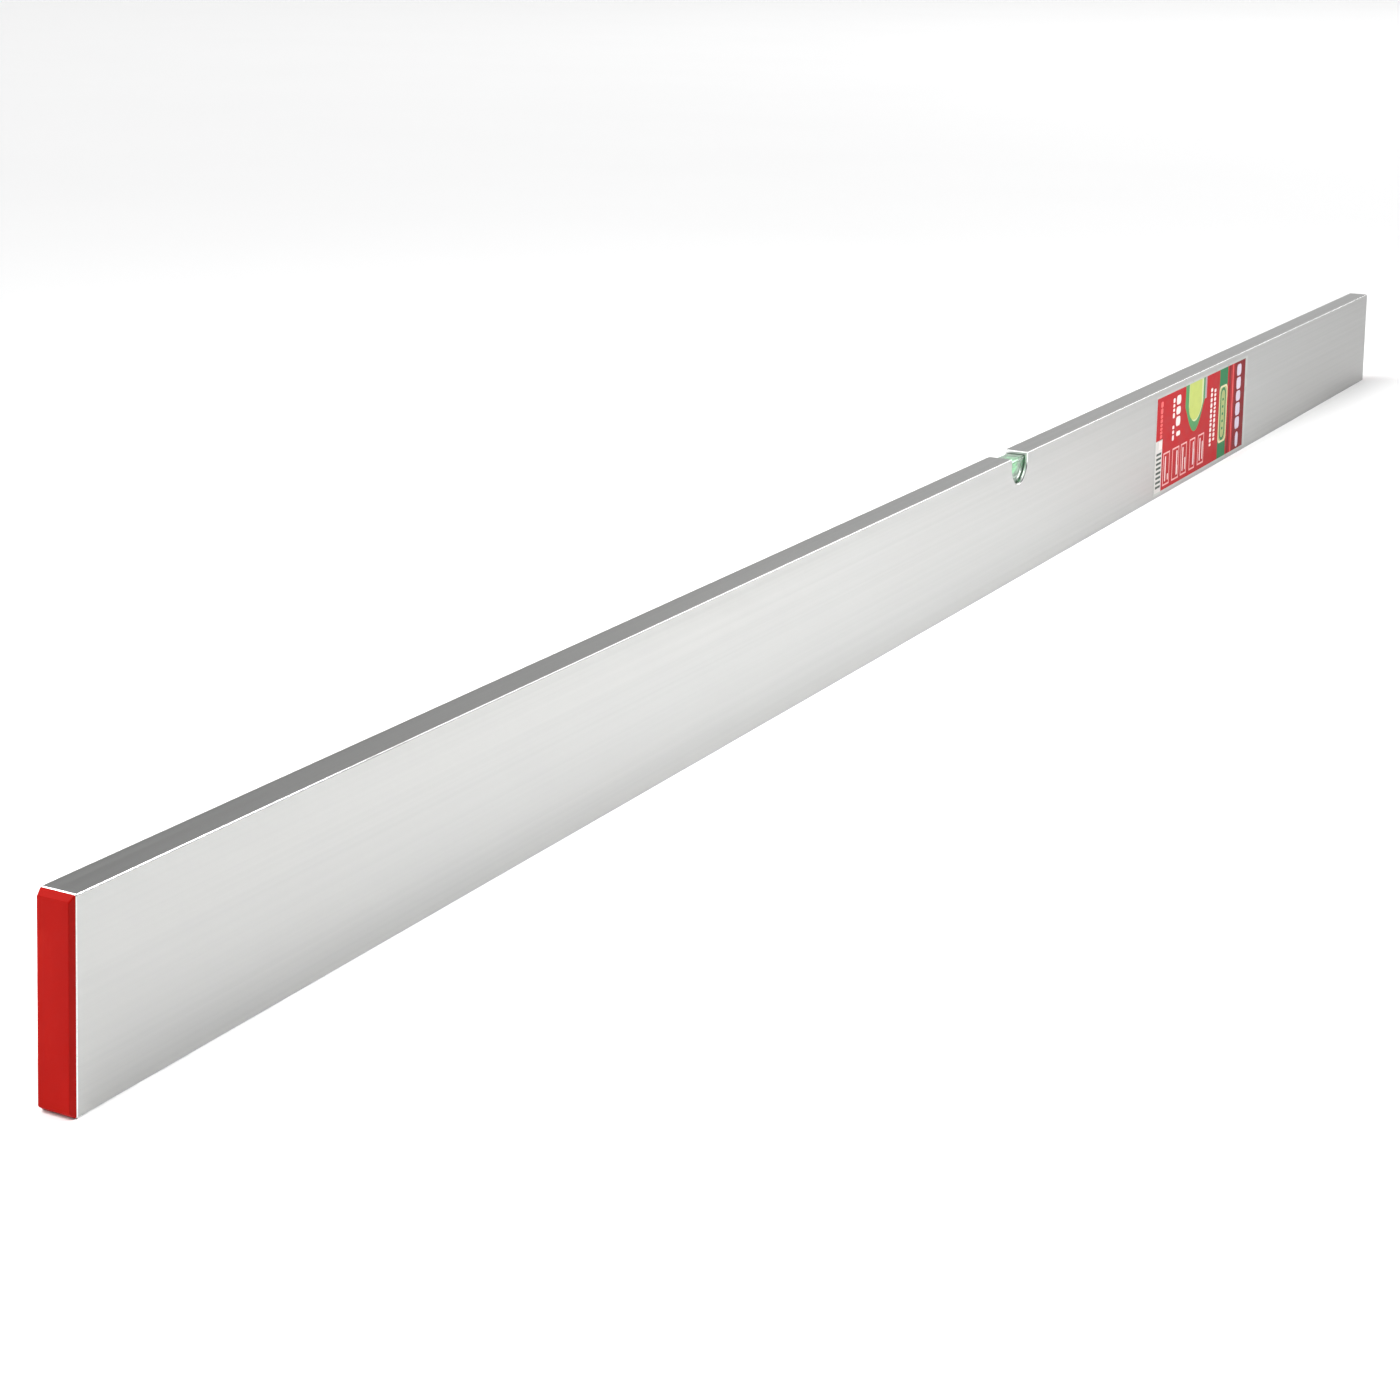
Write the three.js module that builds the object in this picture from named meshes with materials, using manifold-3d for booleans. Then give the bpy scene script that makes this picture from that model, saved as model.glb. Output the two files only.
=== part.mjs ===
// A two-metre box-section spirit level: a hollow aluminium profile that stands on its narrow edge,
// a vial block under a notch in the middle of the upper edge, and a plastic cap on each end.
//
// Millimetres. X runs along the level, Y across its thickness with the labelled face towards -Y,
// and Z up. The origin is the middle of the lower measuring edge.

import * as THREE from 'three';
import { mergeVertices } from 'three/addons/utils/BufferGeometryUtils.js';
import Module from 'manifold-3d';

const wasm = await Module();
wasm.setup();

// Driving dimensions of the whole level.
const LENGTH = 2000;
const THICKNESS = 18;
const HEIGHT = 90;

// Profile: an extruded box section with two webs that make three chambers.
const WALL = 2;
const WEB = 1.6;
const EDGE_RADIUS = 0.8;
const CHAMBER_RADIUS = 0.8;
const END_CHAMFER = 0.4;
const LOWER_WEB_TOP = 32.8;
const VIAL_SEAT = 66;

// End caps: a chamfered head outside, set back a little from the profile's outline, and one hollow
// plug for each chamber.
const CAP_HEAD = 3.2;
const CAP_SETBACK = 0.3;
const CAP_RIM = 0.4;
const CAP_INSET_Y = 1.1;
const CAP_INSET_Z = 2.3;
const CAP_SEAM = 0.1;
const PLUG_DEPTH = 16;
const PLUG_GAP = 0.25;
const PLUG_WALL = 1.8;
const PLUG_LEAD = 2;
const PLUG_TAPER = 0.5;

// Notch: a round-bottomed slot cut right through the upper edge.
const NOTCH_RADIUS = 15;
const NOTCH_DEPTH = 20;
const DEBURR = 0.5;

// Vial block and what it holds. The bore runs along X and is plugged at its right end.
const BLOCK_LENGTH = 62;
const BLOCK_SIDE_GAP = 0.7;
const BLOCK_TOP_GAP = 0.3;
const BLOCK_BASE_GAP = 0.1;
const BLOCK_EDGE = 0.5;
const BORE_HEIGHT = 79.6;
const BORE_RADIUS = 5;
const BORE_BARREL = 0.1;
const BORE_CHAMFER = 0.6;
const BORE_WALL = 5;
const FLUID_RADIUS = 4.8;
const FLUID_TOP = 1.3;
const FLUID_END_GAP = 0.9;
const STOPPER_LENGTH = 4.2;
const STOPPER_GAP = 0.15;
const STOPPER_END_GAP = 0.2;
const STOPPER_LEAD = 0.5;
const STOPPER_DIMPLE_RADIUS = 2.85;
const STOPPER_DIMPLE_DEPTH = 0.8;
const RING_SPACING = 19;
const RING_WIDTH = 0.5;
const RING_DEPTH = 0.3;
const GROOVE_CLEARANCE = 0.05;

// Bubble: a lens against the top of the bore. It travels almost to both ends of the bore.
const BUBBLE_LENGTH = 17;
const BUBBLE_WIDTH = 8.6;
const BUBBLE_DEPTH = 3.1;
const BUBBLE_TOP = 4.7;

// Adhesive fillet at each end of the block, on the web.
const BEAD_LENGTH = 8;
const BEAD_HEIGHT = 7.5;
const BEAD_GAP = 0.1;
const BEAD_SIDE_GAP = 0.6;

// Product label: a thin film on the front face.
const LABEL_LEFT = 308.5;
const LABEL_RIGHT = 565.5;
const LABEL_BOTTOM = 2.8;
const LABEL_TOP = 85.2;
const LABEL_RADIUS = 1.5;
const LABEL_FILM = 0.12;
const LABEL_GAP = 0.04;

const CORNER_STEPS = 4;
const ROUND_STEPS = 48;

// How far a cutting tool runs past the surface that it cuts.
const OVERCUT = 1;

const chambers = [
  { bottom: WALL, top: LOWER_WEB_TOP - WEB },
  { bottom: LOWER_WEB_TOP, top: VIAL_SEAT - WEB },
  { bottom: VIAL_SEAT, top: HEIGHT - WALL },
];
const profileEnd = LENGTH / 2 - CAP_HEAD - CAP_SEAM;

const aluminium = new THREE.MeshStandardMaterial({ color: 0xd2d2cf, roughness: 0.42, metalness: 0.9 });
const redPlastic = new THREE.MeshStandardMaterial({ color: 0xd0341f, roughness: 0.4, metalness: 0 });
const acrylic = new THREE.MeshPhysicalMaterial({
  color: 0xd9f2dc,
  roughness: 0.05,
  metalness: 0,
  transmission: 0.9,
  thickness: 10,
});
const fluidGreen = new THREE.MeshStandardMaterial({ color: 0x9fd08a, roughness: 0.1, metalness: 0 });
const air = new THREE.MeshStandardMaterial({ color: 0xf1f8ee, roughness: 0.05, metalness: 0 });
const black = new THREE.MeshStandardMaterial({ color: 0x151515, roughness: 0.5, metalness: 0 });
const adhesive = new THREE.MeshStandardMaterial({ color: 0xd8d6cc, roughness: 0.6, metalness: 0 });
const film = new THREE.MeshStandardMaterial({ color: 0xc6322f, roughness: 0.3, metalness: 0 });

// Turn a closed geometry into a manifold solid, with its faces pointing out.
function solidOf(geometry) {
  const bare = geometry.clone();
  bare.deleteAttribute('normal');
  bare.deleteAttribute('uv');
  const merged = mergeVertices(bare, 1e-4);
  const corners = merged.index.array;
  const positions = merged.attributes.position;
  const triangles = [];
  let volume = 0;
  for (let i = 0; i < corners.length; i += 3) {
    const [a, b, c] = [corners[i], corners[i + 1], corners[i + 2]];
    if (a !== b && b !== c && c !== a) {
      triangles.push(a, b, c);
      const [pa, pb, pc] = [a, b, c].map((k) => new THREE.Vector3().fromBufferAttribute(positions, k));
      volume += pa.dot(pb.cross(pc));
    }
  }
  if (volume < 0) {
    triangles.reverse();
  }
  return new wasm.Manifold(new wasm.Mesh({
    numProp: 3,
    vertProperties: new Float32Array(positions.array),
    triVerts: new Uint32Array(triangles),
  }));
}

function geometryOf(solid) {
  const result = solid.getMesh();
  const geometry = new THREE.BufferGeometry();
  geometry.setAttribute('position', new THREE.BufferAttribute(new Float32Array(result.vertProperties), 3));
  geometry.setIndex(new THREE.BufferAttribute(new Uint32Array(result.triVerts), 1));
  geometry.computeVertexNormals();
  return geometry;
}

// Rounded rectangle as a counter-clockwise loop, centred on (0, middle).
function roundedRect(width, height, radius, middle = 0) {
  const loop = [];
  for (let corner = 0; corner < 4; corner++) {
    const sideX = corner === 0 || corner === 3 ? 1 : -1;
    const sideY = corner < 2 ? 1 : -1;
    for (let step = 0; step <= CORNER_STEPS; step++) {
      const angle = (corner + step / CORNER_STEPS) * Math.PI / 2;
      loop.push(new THREE.Vector2(
        sideX * (width / 2 - radius) + radius * Math.cos(angle),
        middle + sideY * (height / 2 - radius) + radius * Math.sin(angle),
      ));
    }
  }
  return loop;
}

// Closed solid through matching convex loops, one at each station, with flat ends.
// place turns a loop's (u, v) and the station into a point; u, v and station are right-handed.
function loft(sections, place) {
  const count = sections[0].loop.length;
  const vertices = sections.flatMap(({ loop, at }) => loop.flatMap((p) => place(p.x, p.y, at).toArray()));
  const index = [];
  for (let k = 0; k < sections.length - 1; k++) {
    for (let i = 0; i < count; i++) {
      const a = k * count + i;
      const b = k * count + (i + 1) % count;
      index.push(a, b, b + count, a, b + count, a + count);
    }
  }
  const last = (sections.length - 1) * count;
  for (let i = 1; i < count - 1; i++) {
    index.push(0, i + 1, i, last, last + i, last + i + 1);
  }
  const geometry = new THREE.BufferGeometry();
  geometry.setAttribute('position', new THREE.Float32BufferAttribute(vertices, 3));
  geometry.setIndex(index);
  return geometry;
}

const alongX = (u, v, at) => new THREE.Vector3(at, u, v);
const throughY = (u, v, at) => new THREE.Vector3(u, -at, v);

// Closed geometry turned about the bore's axis. The outline's (x, radius) pairs either start and end on
// the axis or come back to the first pair.
function turned(outline) {
  const points = outline.map(([x, radius]) => new THREE.Vector2(radius, x));
  const geometry = new THREE.LatheGeometry(points, ROUND_STEPS);
  geometry.rotateZ(-Math.PI / 2);
  geometry.translate(0, 0, BORE_HEIGHT);
  return geometry;
}

// Notch outline in X and Z: straight sides and a half-round bottom, grown outwards by `grow`.
function notchLoop(grow) {
  const radius = NOTCH_RADIUS + grow;
  const centre = HEIGHT - NOTCH_DEPTH + NOTCH_RADIUS;
  const top = HEIGHT + OVERCUT;
  const loop = [new THREE.Vector2(radius, top), new THREE.Vector2(-radius, top)];
  const steps = ROUND_STEPS / 2;
  for (let step = 0; step <= steps; step++) {
    const angle = Math.PI * (1 + step / steps);
    loop.push(new THREE.Vector2(radius * Math.cos(angle), centre + radius * Math.sin(angle)));
  }
  return loop;
}

// Wedge that breaks the notch's edges on the upper face, at 45 degrees.
function notchFlare() {
  const low = HEIGHT - 2 * DEBURR;
  const high = HEIGHT + DEBURR;
  const narrow = NOTCH_RADIUS - DEBURR;
  const wide = narrow + high - low;
  const outline = [[-narrow, low], [narrow, low], [wide, high], [-wide, high]]
    .map(([x, z]) => new THREE.Vector2(x, z));
  return loft([
    { loop: outline, at: -THICKNESS },
    { loop: outline, at: THICKNESS },
  ], throughY);
}

function makeProfile() {
  const outline = (inset) => roundedRect(
    THICKNESS - 2 * inset, HEIGHT - 2 * inset, EDGE_RADIUS - inset / 2, HEIGHT / 2);
  let body = solidOf(loft([
    { loop: outline(END_CHAMFER), at: -profileEnd },
    { loop: outline(0), at: END_CHAMFER - profileEnd },
    { loop: outline(0), at: profileEnd - END_CHAMFER },
    { loop: outline(END_CHAMFER), at: profileEnd },
  ], alongX));
  for (const { bottom, top } of chambers) {
    const loop = roundedRect(THICKNESS - 2 * WALL, top - bottom, CHAMBER_RADIUS, (bottom + top) / 2);
    body = body.subtract(solidOf(loft([
      { loop, at: -LENGTH / 2 },
      { loop, at: LENGTH / 2 },
    ], alongX)));
  }
  body = body.subtract(solidOf(loft([
    { loop: notchLoop(0), at: -THICKNESS / 2 - OVERCUT },
    { loop: notchLoop(0), at: THICKNESS / 2 + OVERCUT },
  ], throughY)));
  for (const side of [-1, 1]) {
    const outer = { loop: notchLoop(2 * DEBURR), at: side * (THICKNESS / 2 + DEBURR) };
    const inner = { loop: notchLoop(0), at: side * (THICKNESS / 2 - DEBURR) };
    body = body.subtract(solidOf(loft(side < 0 ? [outer, inner] : [inner, outer], throughY)));
  }
  return geometryOf(body.subtract(solidOf(notchFlare())));
}

// The right-hand cap. Its head starts at the profile's end, and its plugs reach into the chambers.
function makeEndCap() {
  const face = LENGTH / 2;
  const back = face - CAP_HEAD;
  const fullWidth = THICKNESS - 2 * CAP_SETBACK;
  const fullHeight = HEIGHT - 2 * CAP_SETBACK;
  const full = roundedRect(fullWidth, fullHeight, EDGE_RADIUS, HEIGHT / 2);
  const small = roundedRect(
    fullWidth - 2 * CAP_INSET_Y, fullHeight - 2 * CAP_INSET_Z, EDGE_RADIUS, HEIGHT / 2);
  let cap = solidOf(loft([
    { loop: full, at: back },
    { loop: full, at: back + CAP_RIM },
    { loop: small, at: face },
  ], alongX));
  const tip = back - PLUG_DEPTH;
  const root = back + OVERCUT;
  for (const { bottom, top } of chambers) {
    const width = THICKNESS - 2 * WALL - 2 * PLUG_GAP;
    const height = top - bottom - 2 * PLUG_GAP;
    const middle = (bottom + top) / 2;
    const outer = roundedRect(width, height, CHAMBER_RADIUS, middle);
    const lead = roundedRect(
      width - 2 * PLUG_TAPER, height - 2 * PLUG_TAPER, CHAMBER_RADIUS, middle);
    const hollow = roundedRect(width - 2 * PLUG_WALL, height - 2 * PLUG_WALL, CHAMBER_RADIUS, middle);
    const plug = solidOf(loft([
      { loop: lead, at: tip },
      { loop: outer, at: tip + PLUG_LEAD },
      { loop: outer, at: root },
    ], alongX));
    const core = solidOf(loft([
      { loop: hollow, at: tip - OVERCUT },
      { loop: hollow, at: back },
    ], alongX));
    cap = cap.add(plug).subtract(core);
  }
  return geometryOf(cap);
}

const boreLeft = BORE_WALL - BLOCK_LENGTH / 2;
const boreRight = BLOCK_LENGTH / 2;
const stopperRight = boreRight - STOPPER_END_GAP;
const stopperLeft = stopperRight - STOPPER_LENGTH;

function makeVialBlock() {
  const width = THICKNESS - 2 * WALL - 2 * BLOCK_SIDE_GAP;
  const bottom = VIAL_SEAT + BLOCK_BASE_GAP;
  const top = HEIGHT - WALL - BLOCK_TOP_GAP;
  const outline = (inset) => roundedRect(
    width - 2 * inset, top - bottom - 2 * inset, BLOCK_EDGE, (bottom + top) / 2);
  const end = BLOCK_LENGTH / 2;
  const block = solidOf(loft([
    { loop: outline(BLOCK_EDGE), at: -end },
    { loop: outline(0), at: BLOCK_EDGE - end },
    { loop: outline(0), at: end - BLOCK_EDGE },
    { loop: outline(BLOCK_EDGE), at: end },
  ], alongX));
  const inner = BORE_RADIUS + BORE_BARREL;
  const groove = inner + RING_DEPTH + GROOVE_CLEARANCE;
  const bore = [
    [boreLeft, 0],
    [boreLeft, BORE_RADIUS - BORE_CHAMFER],
    [boreLeft + BORE_CHAMFER, BORE_RADIUS],
  ];
  for (const side of [-1, 1]) {
    const left = side * RING_SPACING / 2 - RING_WIDTH / 2 - GROOVE_CLEARANCE;
    const right = left + RING_WIDTH + 2 * GROOVE_CLEARANCE;
    bore.push([left, inner], [left, groove], [right, groove], [right, inner]);
  }
  bore.push([stopperLeft, BORE_RADIUS], [boreRight + OVERCUT, BORE_RADIUS], [boreRight + OVERCUT, 0]);
  return geometryOf(block.subtract(solidOf(turned(bore))));
}

function makeRing(middle) {
  const inner = BORE_RADIUS + BORE_BARREL;
  const outer = inner + RING_DEPTH;
  const half = RING_WIDTH / 2;
  return turned([
    [middle - half, inner],
    [middle + half, inner],
    [middle + half, outer],
    [middle - half, outer],
    [middle - half, inner],
  ]);
}

// Stopper in the bore's open end, with a shallow dimple in its outer face.
function makeVialPlug() {
  const radius = BORE_RADIUS - STOPPER_GAP;
  const floor = stopperRight - STOPPER_DIMPLE_DEPTH;
  return turned([
    [stopperLeft, 0],
    [stopperLeft, radius - STOPPER_LEAD],
    [stopperLeft + STOPPER_LEAD, radius],
    [stopperRight, radius],
    [stopperRight, STOPPER_DIMPLE_RADIUS + STOPPER_LEAD],
    [floor, STOPPER_DIMPLE_RADIUS],
    [floor, 0],
  ]);
}

// The fluid fills the bore below the bubble's path: a round bar with a flat top.
function makeFluid() {
  const start = Math.PI - Math.asin(FLUID_TOP / FLUID_RADIUS);
  const end = 3 * Math.PI - start;
  const steps = 32;
  const loop = [];
  for (let step = 0; step <= steps; step++) {
    const angle = start + (end - start) * step / steps;
    loop.push(new THREE.Vector2(
      FLUID_RADIUS * Math.cos(angle),
      BORE_HEIGHT + FLUID_RADIUS * Math.sin(angle),
    ));
  }
  return loft([
    { loop, at: boreLeft + FLUID_END_GAP },
    { loop, at: stopperLeft - STOPPER_END_GAP },
  ], alongX);
}

function makeBubble() {
  const lens = new THREE.SphereGeometry(1, 40, 24);
  lens.scale(BUBBLE_LENGTH / 2, BUBBLE_WIDTH / 2, BUBBLE_DEPTH);
  lens.translate(0, 0, BORE_HEIGHT + BUBBLE_TOP);
  const reach = BUBBLE_LENGTH / 2 + OVERCUT;
  const roof = turned([[-reach, 0], [-reach, BUBBLE_TOP], [reach, BUBBLE_TOP], [reach, 0]]);
  return geometryOf(solidOf(lens).intersect(solidOf(roof)));
}

// A fillet of adhesive in the corner between the block's right end and the web. The left one is the
// same solid, turned half round.
function makeAdhesive(side) {
  const near = BLOCK_LENGTH / 2 + BEAD_GAP;
  const bottom = VIAL_SEAT + BEAD_GAP;
  const loop = [new THREE.Vector2(near, bottom)];
  const steps = 8;
  for (let step = 0; step <= steps; step++) {
    const angle = step / steps * Math.PI / 2;
    loop.push(new THREE.Vector2(
      near + BEAD_LENGTH * Math.cos(angle),
      bottom + BEAD_HEIGHT * Math.sin(angle),
    ));
  }
  const half = THICKNESS / 2 - WALL - BEAD_SIDE_GAP;
  const bead = loft([
    { loop, at: -half },
    { loop, at: half },
  ], throughY);
  return side < 0 ? bead.rotateZ(Math.PI) : bead;
}

function makeLabel() {
  const loop = roundedRect(
    LABEL_RIGHT - LABEL_LEFT, LABEL_TOP - LABEL_BOTTOM, LABEL_RADIUS, (LABEL_TOP + LABEL_BOTTOM) / 2);
  const middle = (LABEL_LEFT + LABEL_RIGHT) / 2;
  const back = THICKNESS / 2 + LABEL_GAP;
  return loft([
    { loop, at: back },
    { loop, at: back + LABEL_FILM },
  ], throughY).translate(middle, 0, 0);
}

const group = new THREE.Group();

function add(name, geometry, material) {
  const mesh = new THREE.Mesh(geometry, material);
  mesh.name = name;
  group.add(mesh);
  return mesh;
}

add('profile', makeProfile(), aluminium);
add('end_cap_right', makeEndCap(), redPlastic);
add('end_cap_left', makeEndCap(), redPlastic).rotation.z = Math.PI;
add('vial_block', makeVialBlock(), acrylic);
add('vial_plug', geometryOf(solidOf(makeVialPlug())), acrylic);
add('vial_fluid', makeFluid(), fluidGreen);
add('bubble', makeBubble(), air);
for (const [name, side] of [['left', -1], ['right', 1]]) {
  add(`ring_line_${name}`, geometryOf(solidOf(makeRing(side * RING_SPACING / 2))), black);
  add(`adhesive_${name}`, makeAdhesive(side), adhesive);
}
add('product_label', makeLabel(), film);

export default group;
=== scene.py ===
"""Looks of a two-metre box-section spirit level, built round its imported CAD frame.

Metres: X along the level, the labelled face towards -Y, Z up from the floor.
Every piece takes its place from the box of the CAD node that it stands for.
"""

import math
import random

import bmesh
import bpy
from mathutils import Matrix, Quaternion, Vector, noise


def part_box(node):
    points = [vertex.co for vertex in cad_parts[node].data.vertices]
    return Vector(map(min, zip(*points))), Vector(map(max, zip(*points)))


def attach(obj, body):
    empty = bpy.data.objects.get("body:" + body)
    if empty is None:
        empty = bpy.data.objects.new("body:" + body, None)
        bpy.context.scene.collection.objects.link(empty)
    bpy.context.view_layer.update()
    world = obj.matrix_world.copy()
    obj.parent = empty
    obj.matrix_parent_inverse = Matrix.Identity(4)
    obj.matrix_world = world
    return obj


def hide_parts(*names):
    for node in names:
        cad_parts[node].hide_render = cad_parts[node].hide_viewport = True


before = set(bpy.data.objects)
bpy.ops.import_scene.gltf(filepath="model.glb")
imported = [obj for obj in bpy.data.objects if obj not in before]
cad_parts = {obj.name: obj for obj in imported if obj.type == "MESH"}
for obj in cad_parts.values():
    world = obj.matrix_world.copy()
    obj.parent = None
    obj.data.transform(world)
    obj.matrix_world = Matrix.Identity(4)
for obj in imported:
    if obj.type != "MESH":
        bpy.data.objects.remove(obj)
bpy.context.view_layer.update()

MM = 0.001
BODY = "level"

# ---------------------------------------------------------------- sizes that the boxes don't give

EDGE_RADIUS = 0.8 * MM
WALL = 2.0 * MM
WEB = 1.6 * MM
LOWER_WEB_TOP = 32.8 * MM
VIAL_SEAT = 66.0 * MM
END_CHAMFER = 0.4 * MM
CAP_SEAM = 0.1 * MM
DEBURR = 0.5 * MM

NOTCH_RADIUS = 15.0 * MM
NOTCH_DEPTH = 20.0 * MM

CAP_RIM = 0.4 * MM
CAP_INSET = (1.1 * MM, 2.3 * MM)
CAP_ROUND = 0.35 * MM
PLUG_GAP = 0.25 * MM
PLUG_WALL = 1.8 * MM
PLUG_LEAD = 2.0 * MM
PLUG_TAPER = 0.5 * MM

BORE_HEIGHT = 79.6 * MM
BORE_RADIUS = 5.0 * MM
BORE_WALL = 5.0 * MM
BORE_CHAMFER = 0.6 * MM
RING_INNER = 5.1 * MM
GROOVE_RADIUS = 5.45 * MM
GROOVE_HALF = 0.3 * MM

PROFILE_LOW, PROFILE_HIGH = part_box("profile")
CHAMBERS = (
    (WALL, LOWER_WEB_TOP - WEB),
    (LOWER_WEB_TOP, VIAL_SEAT - WEB),
    (VIAL_SEAT, PROFILE_HIGH.z - WALL),
)

ACRYLIC_IOR = 1.49
LIQUID_IOR = 1.4

# ---------------------------------------------------------------- mesh helpers


def rounded_rect(width, height, radius, middle=(0.0, 0.0), steps=8):
    """Counter-clockwise loop of a rounded rectangle, as (u, v) pairs."""
    loop = []
    for corner in range(4):
        side_u = 1 if corner in (0, 3) else -1
        side_v = 1 if corner < 2 else -1
        for step in range(steps + 1):
            angle = (corner + step / steps) * math.pi / 2
            loop.append((
                middle[0] + side_u * (width / 2 - radius) + radius * math.cos(angle),
                middle[1] + side_v * (height / 2 - radius) + radius * math.sin(angle),
            ))
    return loop


def along_x(u, v, at):
    return (at, u, v)


def through_y(u, v, at):
    return (u, -at, v)


def loft(bm, sections, place):
    """Adds a closed solid through matching loops to bm. sections is [(loop, station), ...]."""
    rings = [[bm.verts.new(place(u, v, at)) for u, v in loop] for loop, at in sections]
    for low, high in zip(rings, rings[1:]):
        count = len(low)
        for i in range(count):
            j = (i + 1) % count
            bm.faces.new((low[i], low[j], high[j], high[i]))
    bm.faces.new(list(reversed(rings[0])))
    bm.faces.new(rings[-1])


def revolve(bm, outline, height, steps=96):
    """Adds a solid of revolution about the bore's axis, from (x, radius) pairs.
    An outline that starts and ends at radius 0 is closed on the axis; any other closes on itself."""
    on_axis = outline[0][1] == 0 and outline[-1][1] == 0
    rings = []
    for x, radius in outline:
        if radius == 0:
            rings.append([bm.verts.new((x, 0, height))] * steps)
            continue
        ring = []
        for step in range(steps):
            angle = 2 * math.pi * step / steps
            ring.append(bm.verts.new((x, radius * math.cos(angle), height + radius * math.sin(angle))))
        rings.append(ring)
    pairs = list(zip(rings, rings[1:]))
    if not on_axis:
        pairs.append((rings[-1], rings[0]))
    for low, high in pairs:
        for i in range(steps):
            j = (i + 1) % steps
            corners = []
            for vertex in (low[i], low[j], high[j], high[i]):
                if vertex not in corners:
                    corners.append(vertex)
            if len(corners) > 2:
                bm.faces.new(corners)
    bmesh.ops.recalc_face_normals(bm, faces=bm.faces)


def new_object(name, bm):
    mesh = bpy.data.meshes.new(name)
    bm.to_mesh(mesh)
    bm.free()
    obj = bpy.data.objects.new(name, mesh)
    bpy.context.scene.collection.objects.link(obj)
    return obj


def bake_modifiers(obj):
    """Replaces obj's mesh by the one that its modifiers make."""
    graph = bpy.context.evaluated_depsgraph_get()
    mesh = bpy.data.meshes.new_from_object(obj.evaluated_get(graph))
    obj.modifiers.clear()
    obj.data = mesh


def combine(obj, other, operation):
    """Cuts obj with other, or joins other to it, and deletes other."""
    modifier = obj.modifiers.new(operation, "BOOLEAN")
    modifier.operation = operation
    modifier.solver = "EXACT"
    modifier.object = other
    bpy.context.view_layer.update()
    bake_modifiers(obj)
    bpy.data.objects.remove(other)


def smooth(obj, sharp_degrees=35, weighted=True):
    """Smooth shading with sharp edges kept, and flat faces kept flat."""
    for polygon in obj.data.polygons:
        polygon.use_smooth = True
    obj.data.set_sharp_from_angle(angle=math.radians(sharp_degrees))
    if weighted:
        modifier = obj.modifiers.new("flat faces", "WEIGHTED_NORMAL")
        modifier.keep_sharp = True
        modifier.weight = 100
        bpy.context.view_layer.update()
        bake_modifiers(obj)


def bevel(obj, width, segments=3, degrees=40):
    modifier = obj.modifiers.new("bevel", "BEVEL")
    modifier.width = width
    modifier.segments = segments
    modifier.limit_method = "ANGLE"
    modifier.angle_limit = math.radians(degrees)
    modifier.harden_normals = False
    bpy.context.view_layer.update()
    bake_modifiers(obj)


# ---------------------------------------------------------------- shader helpers


class Shader:
    """A material with a Principled shader, and short ways to add the nodes that feed it.
    colour and roughness are the plain values that lie under whatever the nodes feed."""

    def __init__(self, name, colour, roughness, **sockets):
        self.material = bpy.data.materials.new(name)
        self.material.use_nodes = True
        self.tree = self.material.node_tree
        self.tree.nodes.clear()
        self.output = self.node("ShaderNodeOutputMaterial")
        self.bsdf = self.node("ShaderNodeBsdfPrincipled")
        self.tree.links.new(self.bsdf.outputs[0], self.output.inputs["Surface"])
        self.set("Base Color", (*colour, 1.0))
        self.set("Roughness", roughness)
        for socket, value in sockets.items():
            self.set(socket.replace("_", " "), value)

    def node(self, kind, **settings):
        made = self.tree.nodes.new(kind)
        for key, value in settings.items():
            setattr(made, key, value)
        return made

    def set(self, socket, value):
        self.bsdf.inputs[socket].default_value = value

    def feed(self, socket, output):
        self.tree.links.new(output, self.bsdf.inputs[socket])

    def noise(self, scale, detail=3.0, roughness=0.5, offset=(0, 0, 0)):
        """Noise in the object's own axes. scale is in features per metre along X, Y and Z."""
        place = self.node("ShaderNodeTexCoord")
        mapping = self.node("ShaderNodeMapping")
        mapping.inputs["Scale"].default_value = scale
        mapping.inputs["Location"].default_value = offset
        texture = self.node("ShaderNodeTexNoise")
        texture.inputs["Scale"].default_value = 1.0
        texture.inputs["Detail"].default_value = detail
        texture.inputs["Roughness"].default_value = roughness
        self.tree.links.new(place.outputs["Object"], mapping.inputs["Vector"])
        self.tree.links.new(mapping.outputs["Vector"], texture.inputs["Vector"])
        return texture.outputs[0]

    def spread(self, value, low, high, start=0.3, end=0.7):
        """Maps start..end of value to low..high."""
        node = self.node("ShaderNodeMapRange")
        node.inputs["From Min"].default_value = start
        node.inputs["From Max"].default_value = end
        node.inputs["To Min"].default_value = low
        node.inputs["To Max"].default_value = high
        self.tree.links.new(value, node.inputs["Value"])
        return node.outputs[0]

    def math(self, operation, a, b):
        node = self.node("ShaderNodeMath", operation=operation)
        for socket, value in zip(node.inputs, (a, b)):
            if isinstance(value, (int, float)):
                socket.default_value = value
            else:
                self.tree.links.new(value, socket)
        return node.outputs[0]

    def mix(self, factor, a, b):
        """Colour mix; a and b are RGB triples or colour outputs."""
        node = self.node("ShaderNodeMix", data_type="RGBA")
        self.tree.links.new(factor, node.inputs["Factor"])
        for socket, value in ((node.inputs[6], a), (node.inputs[7], b)):
            if isinstance(value, tuple):
                socket.default_value = (*value, 1.0)
            else:
                self.tree.links.new(value, socket)
        return node.outputs[2]

    def bump(self, height, distance, strength=1.0, below=None):
        node = self.node("ShaderNodeBump")
        node.inputs["Strength"].default_value = strength
        node.inputs["Distance"].default_value = distance
        self.tree.links.new(height, node.inputs["Height"])
        if below is not None:
            self.tree.links.new(below, node.inputs["Normal"])
        return node.outputs["Normal"]


# ---------------------------------------------------------------- materials


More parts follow.
